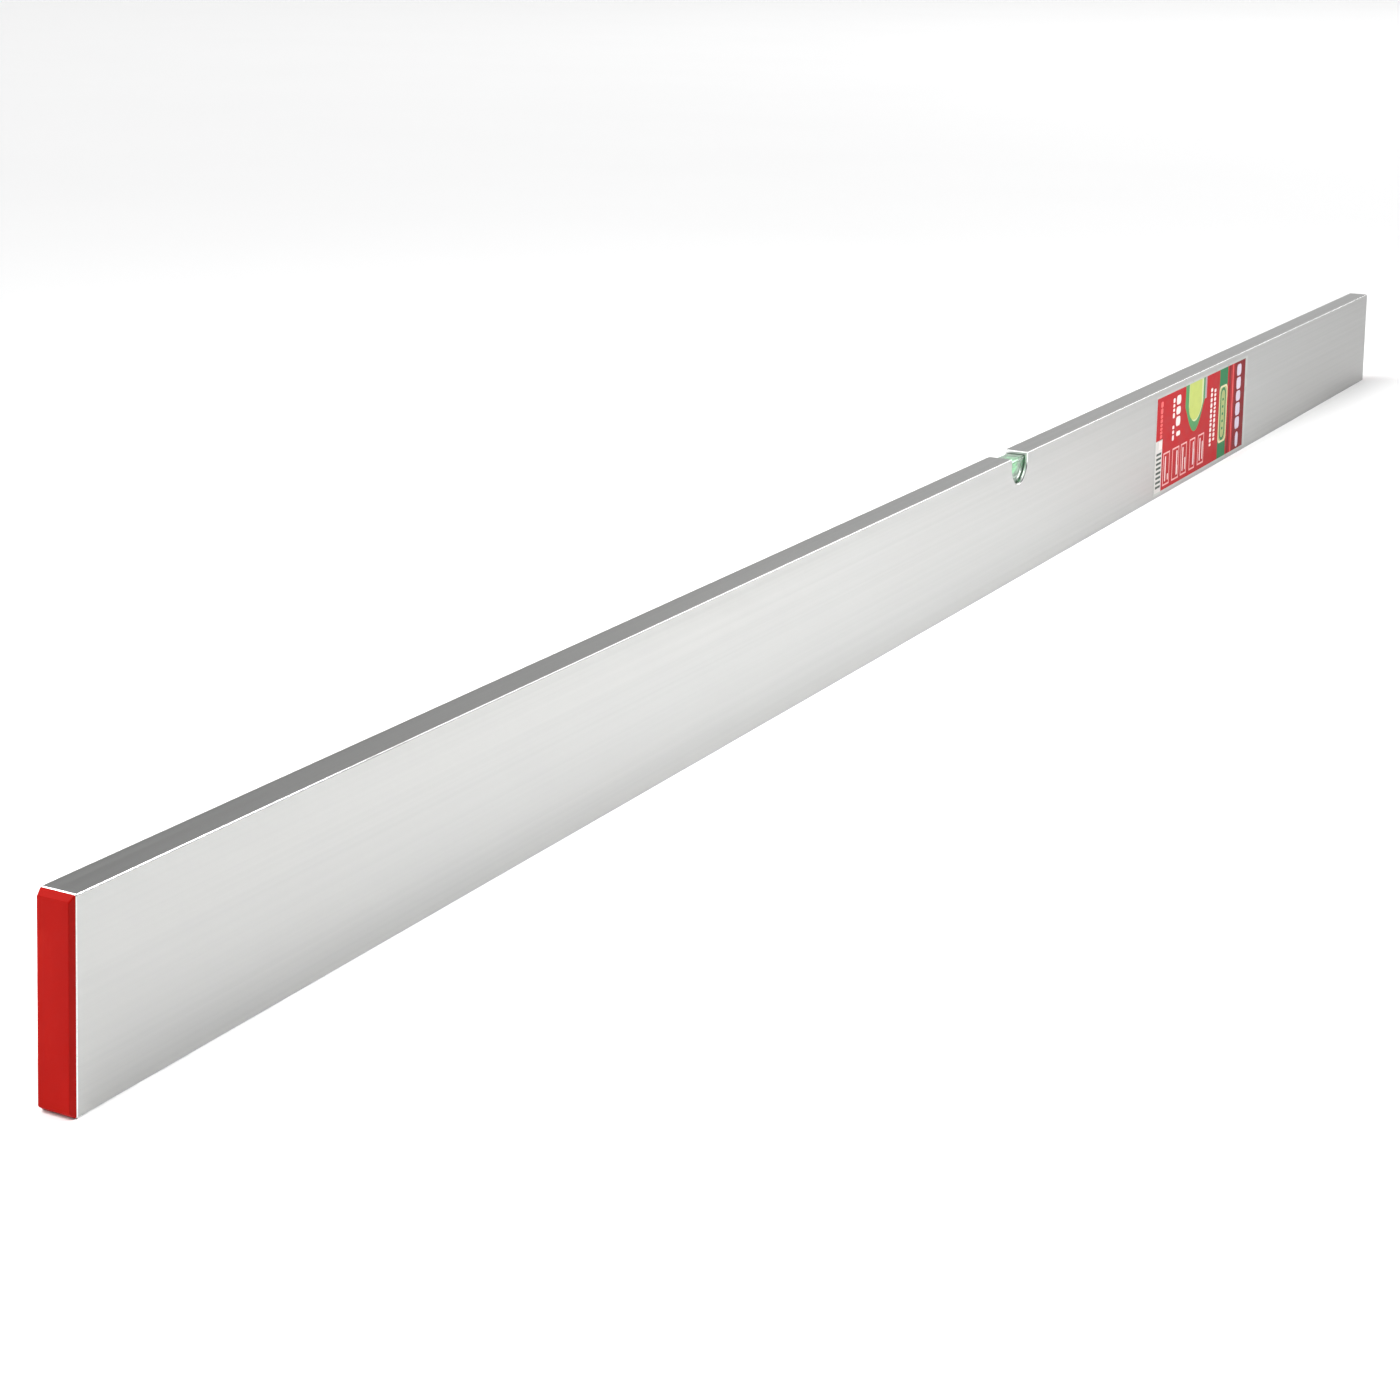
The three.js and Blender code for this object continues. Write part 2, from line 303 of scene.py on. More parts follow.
def anodised_aluminium():
    """Satin extruded aluminium: fine die lines along the length, and cloudy anodising."""
    s = Shader("satin_anodised_aluminium", (0.41, 0.415, 0.41), 0.42, Metallic=1.0)
    clouds = s.noise((2.2, 9.0, 14.0), detail=4)
    lines = s.noise((1.3, 420.0, 420.0), detail=4, roughness=0.6)
    fine = s.noise((6.0, 2600.0, 2600.0), detail=2, roughness=0.6, offset=(3, 1, 2))
    tone = s.mix(s.spread(clouds, 0.0, 1.0), (0.404, 0.406, 0.401), (0.433, 0.431, 0.422))
    streaked = s.mix(s.spread(lines, 0.0, 0.2), tone, (0.38, 0.385, 0.38))
    s.feed("Base Color", streaked)
    rough = s.math("ADD", s.spread(clouds, 0.39, 0.45), s.spread(lines, -0.03, 0.03))
    s.feed("Roughness", rough)
    broad = s.bump(lines, 0.009 * MM)
    s.feed("Normal", s.bump(fine, 0.006 * MM, below=broad))
    return s.material


def cut_aluminium():
    """Bare metal of the notch's walls and the profile's ends, with the cutter's fine marks."""
    s = Shader("milled_aluminium", (0.62, 0.63, 0.63), 0.34, Metallic=1.0)
    marks = s.noise((500.0, 60.0, 1800.0), detail=3)
    s.feed("Base Color", s.mix(s.spread(marks, 0.0, 1.0), (0.56, 0.58, 0.57), (0.66, 0.66, 0.65)))
    s.feed("Roughness", s.spread(marks, 0.26, 0.42))
    s.feed("Normal", s.bump(marks, 0.01 * MM))
    return s.material


def edge_aluminium():
    """The long edges and the notch's rims, burnished bright."""
    s = Shader("burnished_aluminium_edge", (0.9, 0.9, 0.9), 0.25, Metallic=1.0)
    wear = s.noise((14.0, 300.0, 300.0), detail=4)
    s.feed("Base Color", s.mix(s.spread(wear, 0.0, 1.0), (0.84, 0.84, 0.84), (0.95, 0.95, 0.95)))
    s.feed("Roughness", s.spread(wear, 0.16, 0.28))
    return s.material


def cap_plastic():
    """Red moulded polyethylene with a fine spark-eroded grain and faint scuffs."""
    s = Shader("red_moulded_plastic", (0.32, 0.0035, 0.0015), 0.42, IOR=1.5)
    s.set("Specular IOR Level", 0.06)
    grain = s.noise((2600.0, 2600.0, 2600.0), detail=2)
    flow = s.noise((60.0, 60.0, 25.0), detail=4, offset=(5, 0, 1))
    scuffs = s.noise((900.0, 120.0, 40.0), detail=5, roughness=0.7)
    tone = s.mix(s.spread(flow, 0.0, 1.0), (0.3, 0.003, 0.001), (0.335, 0.0045, 0.002))
    s.feed("Base Color", s.mix(s.spread(scuffs, 0.0, 0.16, 0.55, 0.8), tone, (0.5, 0.04, 0.03)))
    worn = s.spread(scuffs, 0.0, 0.12, 0.5, 0.8)
    s.feed("Roughness", s.math("ADD", s.spread(flow, 0.38, 0.46), worn))
    s.feed("Normal", s.bump(grain, 0.02 * MM, 0.6))
    return s.material


def clear(name, colour, ior, haze=0.0, cloudy=0.0):
    """Clear tinted plastic, liquid or air. cloudy is the share of light that it scatters back; for the
    bubble's air, which scatters nothing, that share is a painted highlight.
    """
    s = Shader(name, colour, haze, IOR=ior, Transmission_Weight=1.0 - cloudy)
    cloud = s.noise((500.0, 500.0, 500.0), detail=3)
    s.feed("Roughness", s.spread(cloud, haze, haze + 0.02))
    s.feed("Base Color", s.mix(s.spread(cloud, 0.0, 1.0), colour, tuple(0.97 * c for c in colour)))
    return s.material


def ring_black():
    s = Shader("black_ring", (0.012, 0.012, 0.012), 0.4)
    grain = s.noise((3000.0, 3000.0, 3000.0), detail=2)
    s.feed("Base Color", s.mix(s.spread(grain, 0.0, 1.0), (0.008, 0.009, 0.008), (0.02, 0.021, 0.02)))
    s.feed("Roughness", s.spread(grain, 0.32, 0.5))
    return s.material


def adhesive_resin():
    s = Shader("cured_resin", (0.62, 0.6, 0.52), 0.35, Subsurface_Weight=0.2)
    s.bsdf.inputs["Subsurface Radius"].default_value = (1.0, 0.9, 0.7)
    s.set("Subsurface Scale", 1.0 * MM)
    mottle = s.noise((260.0, 260.0, 260.0), detail=5)
    s.feed("Base Color", s.mix(s.spread(mottle, 0.0, 1.0), (0.56, 0.53, 0.44), (0.7, 0.68, 0.6)))
    s.feed("Roughness", s.spread(mottle, 0.25, 0.5))
    s.feed("Normal", s.bump(mottle, 0.2 * MM, 0.5))
    return s.material


def printed(name, colour, shade, roughness=0.34):
    """Printed film: ink laid unevenly under a satin laminate."""
    s = Shader(name, colour, roughness, IOR=1.5)
    s.set("Specular IOR Level", 0.02)
    lay = s.noise((90.0, 90.0, 140.0), detail=5)
    dots = s.noise((3200.0, 3200.0, 3200.0), detail=1)
    tone = s.mix(s.spread(lay, 0.0, 1.0), shade, colour)
    s.feed("Base Color", s.mix(s.spread(dots, 0.0, 0.12), tone, tuple(0.7 * c for c in shade)))
    s.feed("Roughness", s.spread(lay, roughness - 0.04, roughness + 0.06))
    s.feed("Normal", s.bump(lay, 0.03 * MM, 0.5))
    return s.material


# ---------------------------------------------------------------- profile

SATIN, MILLED, BURNISHED = range(3)


def notch_loop(top, grow=0.0, steps=48):
    """The notch's outline in X and Z: straight sides and a half-round bottom."""
    centre = top - NOTCH_DEPTH + NOTCH_RADIUS
    radius = NOTCH_RADIUS + grow
    loop = [(radius, top + MM), (-radius, top + MM)]
    for step in range(steps + 1):
        angle = math.pi * (1 + step / steps)
        loop.append((radius * math.cos(angle), centre + radius * math.sin(angle)))
    return loop


def cut_chambers(profile, inner_width, end):
    hollow = bmesh.new()
    for bottom, top in CHAMBERS:
        middle = (0, (bottom + top) / 2)
        loop = rounded_rect(inner_width, top - bottom, EDGE_RADIUS, middle, steps=4)
        loft(hollow, [(loop, -end - WALL), (loop, end + WALL)], along_x)
    combine(profile, new_object("chambers", hollow), "DIFFERENCE")


def cut_notch(profile, width, height):
    """Cuts the notch through both walls, and deburrs its rims on the faces and along the top."""
    side = width / 2
    inner = notch_loop(height)
    outer = notch_loop(height, 2 * DEBURR)
    narrow = NOTCH_RADIUS - DEBURR
    wide = narrow + 3 * DEBURR
    flare_bottom, flare_top = height - 2 * DEBURR, height + DEBURR
    flare = [(-narrow, flare_bottom), (narrow, flare_bottom), (wide, flare_top), (-wide, flare_top)]
    for sections in (
        [(inner, -side - WALL), (inner, side + WALL)],
        [(outer, -side - DEBURR), (inner, DEBURR - side)],
        [(inner, side - DEBURR), (outer, side + DEBURR)],
        [(flare, -width), (flare, width)],
    ):
        cutter = bmesh.new()
        loft(cutter, sections, through_y)
        combine(profile, new_object("cutter", cutter), "DIFFERENCE")


def metal_of(face, side, height, end):
    """Which metal a face of the profile shows, from where it lies and which way it points."""
    centre, normal = face.center, face.normal
    in_notch = (
        abs(centre.x) < NOTCH_RADIUS + 2 * DEBURR
        and centre.z > height - NOTCH_DEPTH - 2 * DEBURR
        and abs(normal.y) < 0.9
        and normal.z < 0.99
    )
    if in_notch and abs(normal.y) > 0.3:
        return BURNISHED
    at_corner = (
        abs(centre.y) > side - EDGE_RADIUS
        or centre.z > height - EDGE_RADIUS
        or centre.z < EDGE_RADIUS
    )
    rounded = 0.15 < abs(normal.y) < 0.99 and abs(normal.x) < 0.1
    if at_corner and rounded and not in_notch:
        return BURNISHED
    at_end = abs(normal.x) > 0.3 and abs(centre.x) > end - 2 * END_CHAMFER
    if at_end or (in_notch and normal.z > -0.1):
        return MILLED
    return SATIN


def make_profile():
    width = PROFILE_HIGH.y - PROFILE_LOW.y
    height = PROFILE_HIGH.z
    end = PROFILE_HIGH.x

    def outline(inset):
        size = (width - 2 * inset, height - 2 * inset)
        return rounded_rect(*size, EDGE_RADIUS - inset / 2, (0, height / 2))

    body = bmesh.new()
    loft(body, [
        (outline(END_CHAMFER), -end),
        (outline(0), END_CHAMFER - end),
        (outline(0), end - END_CHAMFER),
        (outline(END_CHAMFER), end),
    ], along_x)
    profile = new_object("level_profile", body)
    cut_chambers(profile, width - 2 * WALL, end)
    cut_notch(profile, width, height)

    profile.data.materials.clear()
    for metal in (anodised_aluminium(), cut_aluminium(), edge_aluminium()):
        profile.data.materials.append(metal)
    for face in profile.data.polygons:
        face.material_index = metal_of(face, width / 2, height, end)
    smooth(profile)
    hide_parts("profile")
    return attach(profile, BODY)


# ---------------------------------------------------------------- end caps


def cap_head(width, bottom, top, back, front):
    """The head outside the profile: a thin rim, chamfered sides and a rolled edge to the flat face."""
    middle = (0, (bottom + top) / 2)
    height = top - bottom

    def section(inset, at):
        return rounded_rect(width - 2 * inset[0], height - 2 * inset[1], EDGE_RADIUS, middle), at

    sections = [section((0, 0), back), section((0, 0), back + CAP_RIM)]
    steps = 6
    for step in range(steps + 1):
        angle = math.pi / 2 * step / steps
        roll = CAP_ROUND * (1 - math.cos(angle))
        inset = [size + roll - CAP_ROUND for size in CAP_INSET]
        sections.append(section(inset, front - CAP_ROUND * (1 - math.sin(angle))))
    head = bmesh.new()
    loft(head, sections, along_x)
    return head


def add_plug(cap, bottom, top, tip, back):
    """Joins to the cap the hollow plug that presses into the chamber from bottom to top."""
    middle = (0, (bottom + top) / 2)
    width = PROFILE_HIGH.y - PROFILE_LOW.y - 2 * WALL - 2 * PLUG_GAP
    height = top - bottom - 2 * PLUG_GAP
    lead, outer, core = (
        rounded_rect(width - 2 * inset, height - 2 * inset, EDGE_RADIUS, middle)
        for inset in (PLUG_TAPER, 0, PLUG_WALL)
    )
    plug = bmesh.new()
    loft(plug, [(lead, tip), (outer, tip + PLUG_LEAD), (outer, back + MM)], along_x)
    combine(cap, new_object("plug", plug), "UNION")
    hole = bmesh.new()
    loft(hole, [(core, tip - MM), (core, back)], along_x)
    combine(cap, new_object("hole", hole), "DIFFERENCE")


def make_cap(name, side, plastic):
    """side is -1 for the left end and 1 for the right. Both are built at the right end."""
    low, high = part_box(name)
    front = max(abs(low.x), abs(high.x))
    tip = min(abs(low.x), abs(high.x))
    back = PROFILE_HIGH.x + CAP_SEAM
    head = cap_head(high.y - low.y, low.z, high.z, back, front)
    cap = new_object(name + "_moulding", head)
    for bottom, top in CHAMBERS:
        add_plug(cap, bottom, top, tip, back)
    if side < 0:
        cap.data.transform(Matrix.Rotation(math.pi, 4, "Z"))
    cap.data.materials.clear()
    cap.data.materials.append(plastic)
    smooth(cap, 50)
    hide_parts(name)
    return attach(cap, BODY)


# ---------------------------------------------------------------- vial


def make_vial_block(acrylic, wetted):
    """A clear block. The faces of its bore bend light as acrylic does against liquid."""
    low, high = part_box("vial_block")
    block = bmesh.new()
    middle = (0, (low.z + high.z) / 2)
    sharp = 0.05 * MM
    polish = 0.5 * MM
    loop = rounded_rect(high.y - low.y, high.z - low.z, sharp, middle, steps=1)
    loft(block, [(loop, low.x), (loop, high.x)], along_x)
    bmesh.ops.remove_doubles(block, verts=block.verts, dist=2 * sharp)
    obj = new_object("vial_block_acrylic", block)
    bevel(obj, polish)

    bore_left = low.x + BORE_WALL
    outline = [
        (bore_left, 0),
        (bore_left, BORE_RADIUS - BORE_CHAMFER),
        (bore_left + BORE_CHAMFER, BORE_RADIUS),
    ]
    for ring in ("ring_line_left", "ring_line_right"):
        ring_low, ring_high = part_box(ring)
        centre = (ring_low.x + ring_high.x) / 2
        outline += [
            (centre - GROOVE_HALF, RING_INNER),
            (centre - GROOVE_HALF, GROOVE_RADIUS),
            (centre + GROOVE_HALF, GROOVE_RADIUS),
            (centre + GROOVE_HALF, RING_INNER),
        ]
    plug_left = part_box("vial_plug")[0].x
    outline += [(plug_left, BORE_RADIUS), (high.x + MM, BORE_RADIUS), (high.x + MM, 0)]
    bore = bmesh.new()
    revolve(bore, outline, BORE_HEIGHT)
    combine(obj, new_object("bore", bore), "DIFFERENCE")
    obj.data.materials.clear()
    obj.data.materials.append(acrylic)
    obj.data.materials.append(wetted)
    for polygon in obj.data.polygons:
        centre = polygon.center
        from_axis = math.hypot(centre.y, centre.z - BORE_HEIGHT)
        inside = low.x + MM < centre.x < high.x - MM and from_axis < GROOVE_RADIUS + 0.1 * MM
        polygon.material_index = 1 if inside else 0
    smooth(obj, 30)
    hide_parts("vial_block")
    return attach(obj, BODY)


def make_fluid(liquid):
    """The liquid fills the whole bore; the bubble is a body of air inside it."""
    low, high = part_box("vial_fluid")
    skin = 0.02 * MM
    radius = BORE_RADIUS - skin
    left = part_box("vial_block")[0].x + BORE_WALL + skin
    bead = BORE_CHAMFER
    outline = [(left, 0), (left, radius - bead), (left + bead, radius), (high.x - bead, radius)]
    outline += [(high.x, radius - bead), (high.x, 0)]
    bm = bmesh.new()
    revolve(bm, outline, BORE_HEIGHT)
    obj = new_object("vial_liquid", bm)
    obj.data.materials.append(liquid)
    smooth(obj, 60, weighted=False)
    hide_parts("vial_fluid")
    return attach(obj, BODY)


def make_bubble(air):
    """A long drop of air: its top follows the bore, its underside is a curved meniscus.
    top, rim and roof are heights above the bore's axis."""
    low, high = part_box("bubble")
    half_length = (high.x - low.x) / 2
    centre = (high.x + low.x) / 2
    top = high.z - BORE_HEIGHT
    half_width = (high.y - low.y) / 2
    depth = high.z - low.z
    blunt = 0.75
    bm = bmesh.new()
    around, along = 48, 40
    rings = []
    for i in range(1, along):
        t = math.pi * i / along
        x = centre - half_length * math.cos(t)
        share = math.sin(t) ** blunt
        ring = []
        for j in range(around):
            a = 2 * math.pi * j / around
            y = half_width * share * math.cos(a)
            roof = math.sqrt(top * top - y * y)
            rim = math.sqrt(top * top - (half_width * share) ** 2)
            z = roof if math.sin(a) >= 0 else rim + (rim - (top - depth)) * share * math.sin(a)
            ring.append(bm.verts.new((x, y, BORE_HEIGHT + z)))
        rings.append(ring)
    ends = [bm.verts.new((centre + s * half_length, 0, BORE_HEIGHT + top)) for s in (-1, 1)]
    for low_ring, high_ring in zip(rings, rings[1:]):
        for i in range(around):
            j = (i + 1) % around
            bm.faces.new((low_ring[i], low_ring[j], high_ring[j], high_ring[i]))
    for tip, ring in zip(ends, (rings[0], rings[-1])):
        for i in range(around):
            bm.faces.new((tip, ring[i], ring[(i + 1) % around]))
    bmesh.ops.recalc_face_normals(bm, faces=bm.faces)
    obj = new_object("air_bubble_shape", bm)
    obj.data.materials.append(air)
    smooth(obj, 60, weighted=False)
    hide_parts("bubble")
    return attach(obj, "air_bubble")


def make_ring(name, black):
    low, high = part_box(name)
    inner = RING_INNER
    outer = (high.z - low.z) / 2
    edge = 0.06 * MM
    outline = [
        (low.x, inner + edge),
        (low.x + edge, inner),
        (high.x - edge, inner),
        (high.x, inner + edge),
        (high.x, outer - edge),
        (high.x - edge, outer),
        (low.x + edge, outer),
        (low.x, outer - edge),
    ]
    bm = bmesh.new()
    revolve(bm, outline, BORE_HEIGHT)
    obj = new_object(name + "_band", bm)
    obj.data.materials.append(black)
    smooth(obj, 60, weighted=False)
    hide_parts(name)
    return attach(obj, BODY)


def make_vial_plug(acrylic):
    low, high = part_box("vial_plug")
    radius = (high.z - low.z) / 2
    chamfer = 0.5 * MM
    dimple = 2 * MM
    outline = [
        (low.x, 0),
        (low.x, radius - chamfer),
        (low.x + chamfer, radius),
        (high.x - chamfer / 2, radius),
        (high.x, radius - chamfer / 2),
        (high.x, dimple + chamfer),
        (high.x - chamfer, dimple),
        (high.x - MM, 0),
    ]
    bm = bmesh.new()
    revolve(bm, outline, BORE_HEIGHT)
    obj = new_object("vial_plug_turned", bm)
    obj.data.materials.append(acrylic)
    smooth(obj, 30, weighted=False)
    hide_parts("vial_plug")
    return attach(obj, BODY)


def make_adhesive(name, side, resin):
    """A lumpy fillet of resin against the block's end."""
    low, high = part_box(name)
    near, far = (high.x, low.x) if side < 0 else (low.x, high.x)
    length, height = far - near, high.z - low.z
    half = (high.y - low.y) / 2
    across, up = 20, 14
    bm = bmesh.new()
    grid = []
    for i in range(across + 1):
        y = -half + 2 * half * i / across
        dome = 1 - 0.22 * (y / half) ** 4
        row = [bm.verts.new((near, y, low.z))]
        for j in range(up + 1):
            a = math.pi / 2 * j / up
            lump = 1 + 0.09 * noise.noise(Vector((side * 7 + y * 420, j * 0.35, side)))
            reach = min(dome * lump, 1.0)
            row.append(bm.verts.new((
                near + length * reach * math.cos(a),
                y,
                low.z + height * reach * math.sin(a),
            )))
        grid.append(row)
    count = len(grid[0])
    for a, b in zip(grid, grid[1:]):
        for j in range(count):
            k = (j + 1) % count
            bm.faces.new((a[j], a[k], b[k], b[j]))
    bm.faces.new(grid[0])
    bm.faces.new(list(reversed(grid[-1])))
    bmesh.ops.recalc_face_normals(bm, faces=bm.faces)
    obj = new_object(name + "_resin", bm)
    obj.data.materials.append(resin)
    smooth(obj, 50, weighted=False)
    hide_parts(name)
    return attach(obj, BODY)


# ---------------------------------------------------------------- label

LABEL_LOW, LABEL_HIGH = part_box("product_label")
INK_THICKNESS = 0.012 * MM
FILM_CORNER = 1.5

# The print's layout, in mm from the film's lower left corner.
FIELD_LEFT, FIELD_RIGHT = 1.5, 250.0
FIELD_BOTTOM, FIELD_TOP = 2.0, 80.7
CODE_RIGHT, CODE_TOP = 18.5, 45.2
HEADER_LEFT = 217.5
BAND_LEFT, BAND_RIGHT = 173.5, 197.0
ICONS = ((22.5, 39.5), (46.5, 64.5), (69.5, 85.5), (93.5, 108.5), (116.5, 133.5))
ICON_BOTTOM, ICON_TOP = 5.0, 32.5
ICON_RISE = 0.3
ICON_LINE = 1.3

# Columns of plain bars: left, right, top, bottom, gap, shortest bar, longest bar.
WORD_COLUMNS = (
    (148.5, 154.0, 68.0, 16.0, 1.0, 2.0, 4.0),
    (158.5, 164.0, 66.0, 18.0, 1.0, 2.0, 4.0),
    (43.5, 48.5, 75.0, 57.0, 1.2, 2.4, 4.5),
    (43.5, 48.5, 52.0, 39.5, 1.2, 2.4, 4.5),
    (52.5, 64.0, 76.0, 50.0, 1.8, 6.0, 8.0),
)
HEADER_COLUMN = (224.5, 237.5, 78.0, 20.0, 1.6, 8.5, 11.5)
SIDE_COLUMN = (11.0, 17.0, 77.0, 46.5, 0.7, 2.0, 5.0)

# Each ink's colour where it lies thick, and where it lies thin.
INK_COLOURS = {
    "red": ((0.45, 0.008, 0.012), (0.4, 0.006, 0.01)),
    "deep_red": ((0.22, 0.004, 0.008), (0.18, 0.003, 0.006)),
    "pink": ((0.78, 0.15, 0.14), (0.72, 0.12, 0.12)),
    "green": ((0.025, 0.2, 0.075), (0.02, 0.16, 0.06)),
    "leaf_green": ((0.09, 0.3, 0.1), (0.06, 0.25, 0.09)),
    "pale_green": ((0.62, 0.68, 0.4), (0.56, 0.62, 0.35)),
    "olive": ((0.42, 0.46, 0.2), (0.37, 0.42, 0.17)),
    "cream": ((0.75, 0.68, 0.42), (0.7, 0.63, 0.38)),
    "lime": ((0.5, 0.57, 0.15), (0.45, 0.53, 0.13)),
    "grey": ((0.4, 0.36, 0.38), (0.36, 0.32, 0.34)),
    "white": ((0.85, 0.74, 0.72), (0.8, 0.7, 0.68)),
    "lilac": ((0.68, 0.6, 0.7), (0.6, 0.53, 0.63)),
    "rose": ((0.82, 0.48, 0.46), (0.76, 0.42, 0.4)),
    "patch": ((0.64, 0.62, 0.6), (0.58, 0.56, 0.54)),
    "black": ((0.07, 0.09, 0.08), (0.05, 0.065, 0.06)),
}


def label_point(u, v, out):
    """u and v in mm from the film's lower left corner, out in metres in front of the film."""
    return (LABEL_LOW.x + u * MM, LABEL_LOW.y - out, LABEL_LOW.z + v * MM)


def bar(u0, v0, u1, v1, radius=0.0, steps=6):
    """Outline of a bar with rounded corners, in label millimetres."""
    radius = min(radius, abs(u1 - u0) / 2, abs(v1 - v0) / 2)
    middle = ((u0 + u1) / 2, (v0 + v1) / 2)
    if radius <= 0:
        return [(u1, v1), (u0, v1), (u0, v0), (u1, v0)]
    return rounded_rect(abs(u1 - u0), abs(v1 - v0), radius, middle, steps)


def ink(name, outlines, layer, material):
    """Thin printed areas, each a closed prism, one layer of ink above the last."""
    bm = bmesh.new()
    for outline in outlines:
        back, front = (layer - 1) * INK_THICKNESS + 0.5 * INK_THICKNESS, layer * INK_THICKNESS
        loft(bm, [(outline, back), (outline, front)], label_point)
    bmesh.ops.recalc_face_normals(bm, faces=bm.faces)
    obj = new_object(name, bm)
    obj.data.materials.append(material)
    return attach(obj, BODY)


def frame_outlines(u0, v0, u1, v1, line):
    """Four bars that make a rectangular outline."""
    return [
        bar(u0, v0, u0 + line, v1),
        bar(u1 - line, v0, u1, v1),
        bar(u0 + line, v0, u1 - line, v0 + line),
        bar(u0 + line, v1 - line, u1 - line, v1),
    ]


def tapered(u0, u1, tip, top, shoulder, bottom, point, steps=14):
    """Outline with straight sides from top to shoulder, narrowing to bottom.
    point 0 makes the end round, and larger values make it more pointed."""
    outline = [(u1, top), (u0, top), (u0, shoulder)]
    for step in range(1, 2 * steps):
        angle = math.pi * (1 + step / (2 * steps))
        reach = u1 - tip if math.cos(angle) > 0 else tip - u0
        drop = (shoulder - bottom) * abs(math.sin(angle)) ** (1 + point)
        outline.append((tip + reach * math.cos(angle), shoulder - drop))
    outline.append((u1, shoulder))
    return outline


def word_bars(rng, u0, u1, top, bottom, gap, shortest, longest):
    """Plain bars in place of a column of words, from top to bottom."""
    bars = []
    v = top
    while v - shortest > bottom:
        length = min(rng.uniform(shortest, longest), v - bottom)
        bars.append(bar(u0, v - length, u1, v, radius=(u1 - u0) * 0.25, steps=3))
        v -= length + gap
    return bars


def make_film(material):
    width = (LABEL_HIGH.x - LABEL_LOW.x) / MM
    height = (LABEL_HIGH.z - LABEL_LOW.z) / MM
    bm = bmesh.new()
    edge = rounded_rect(width, height, FILM_CORNER, (width / 2, height / 2))
    loft(bm, [(edge, LABEL_LOW.y - LABEL_HIGH.y), (edge, 0.0)], label_point)
    bmesh.ops.recalc_face_normals(bm, faces=bm.faces)
    film = new_object("label_film_sheet", bm)
    film.data.materials.append(material)
    smooth(film, 40)
    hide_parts("product_label")
    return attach(film, BODY)


def print_ground(inks):
    """The red field, and the dark header strip down its right side with a rule beside it."""
    field = [
        bar(FIELD_LEFT, CODE_TOP, CODE_RIGHT, FIELD_TOP),
        bar(CODE_RIGHT, FIELD_BOTTOM, HEADER_LEFT, FIELD_TOP),
    ]

    def upright(left, right):
        return [bar(left, FIELD_BOTTOM, right, FIELD_TOP)]

    ink("label_red_field", field, 1, inks["red"])
    ink("label_header_strip", upright(HEADER_LEFT, FIELD_RIGHT), 1, inks["deep_red"])
    ink("label_header_shade", upright(HEADER_LEFT - 16.0, HEADER_LEFT - 10.5), 2, inks["deep_red"])
    ink("label_header_rule", upright(HEADER_LEFT - 5.4, HEADER_LEFT - 3.4), 2, inks["pink"])


def print_band(inks):
    """The green band, with a plain picture of an upright vial."""
    ink("label_green_band", [bar(BAND_LEFT, FIELD_BOTTOM, BAND_RIGHT, FIELD_TOP)], 2, inks["green"])
    window = bar(BAND_LEFT + 0.5, 15.2, BAND_RIGHT + 0.5, 65.7, radius=5)
    inside = bar(BAND_LEFT + 2.2, 17.0, BAND_RIGHT - 1.2, 64.0, radius=4.5)
    ink("label_band_window", [window], 3, inks["cream"])
    ink("label_band_field", [inside], 4, inks["olive"])
    outer = bar(177.5, 17.0, 193.0, 64.0, radius=7.5, steps=12)
    inner = bar(180.0, 19.5, 190.5, 61.5, radius=5.2, steps=12)
    ink("label_vial_outline", [outer], 5, inks["green"])
    ink("label_vial_inside", [inner], 6, inks["olive"])
    dashes = [bar(183.2, 26.5 + 6.4 * k, 187.3, 28.7 + 6.4 * k) for k in range(5)]
    ink("label_vial_dashes", dashes, 7, inks["green"])


def print_picture(inks):
    """The rounded green shape that hangs from the field's top."""
    outline = tapered(77.0, 131.0, 104.5, FIELD_TOP, 62.0, 38.2, 1.5)
    rim = tapered(86.5, 126.5, 105.0, FIELD_TOP, 62.0, 46.5, 0.6)
    inside = tapered(87.5, 122.0, 104.5, FIELD_TOP, 59.0, 48.0, 0.15)
    ink("label_picture_ground", [bar(127.5, 62.0, 136.0, FIELD_TOP)], 2, inks["grey"])
    ink("label_picture_outline", [outline], 3, inks["leaf_green"])
    ink("label_picture_rim", [rim], 4, inks["pale_green"])
    ink("label_picture_inside", [inside], 5, inks["lime"])


def print_marks(inks):
    """Bars in place of the words, and a row of boxes with plain marks in them."""
    rng = random.Random(5)
    words = []
    for column in WORD_COLUMNS:
        words += word_bars(rng, *column)
    words.append(bar(54.5, 41.5, 65.0, 45.5, radius=2))
    boxes = []
    for k, (left, right) in enumerate(ICONS):
        bottom = ICON_BOTTOM + ICON_RISE * k
        boxes += frame_outlines(left, bottom, right, ICON_TOP, ICON_LINE)
        third = (right - left) / 3
        tall = (left + third * (k % 2 + 0.85), left + third * (k % 2 + 1.3))
        short = (left + third * 2.1, left + third * 2.5)
        words.append(bar(tall[0], bottom + 3.2, tall[1], ICON_TOP - 3.2, radius=1))
        words.append(bar(short[0], bottom + 3.5, short[1], bottom + 9 + 2.6 * k, radius=1))
    header = word_bars(rng, *HEADER_COLUMN)
    header.append(bar(227.5, 3.5, 236.0, 17.0, radius=4))
    ink("label_white_marks", words, 4, inks["white"])
    ink("label_header_blocks", header, 4, inks["lilac"])
    ink("label_box_outlines", boxes, 4, inks["rose"])
    ink("label_pink_marks", word_bars(rng, *SIDE_COLUMN), 4, inks["pink"])


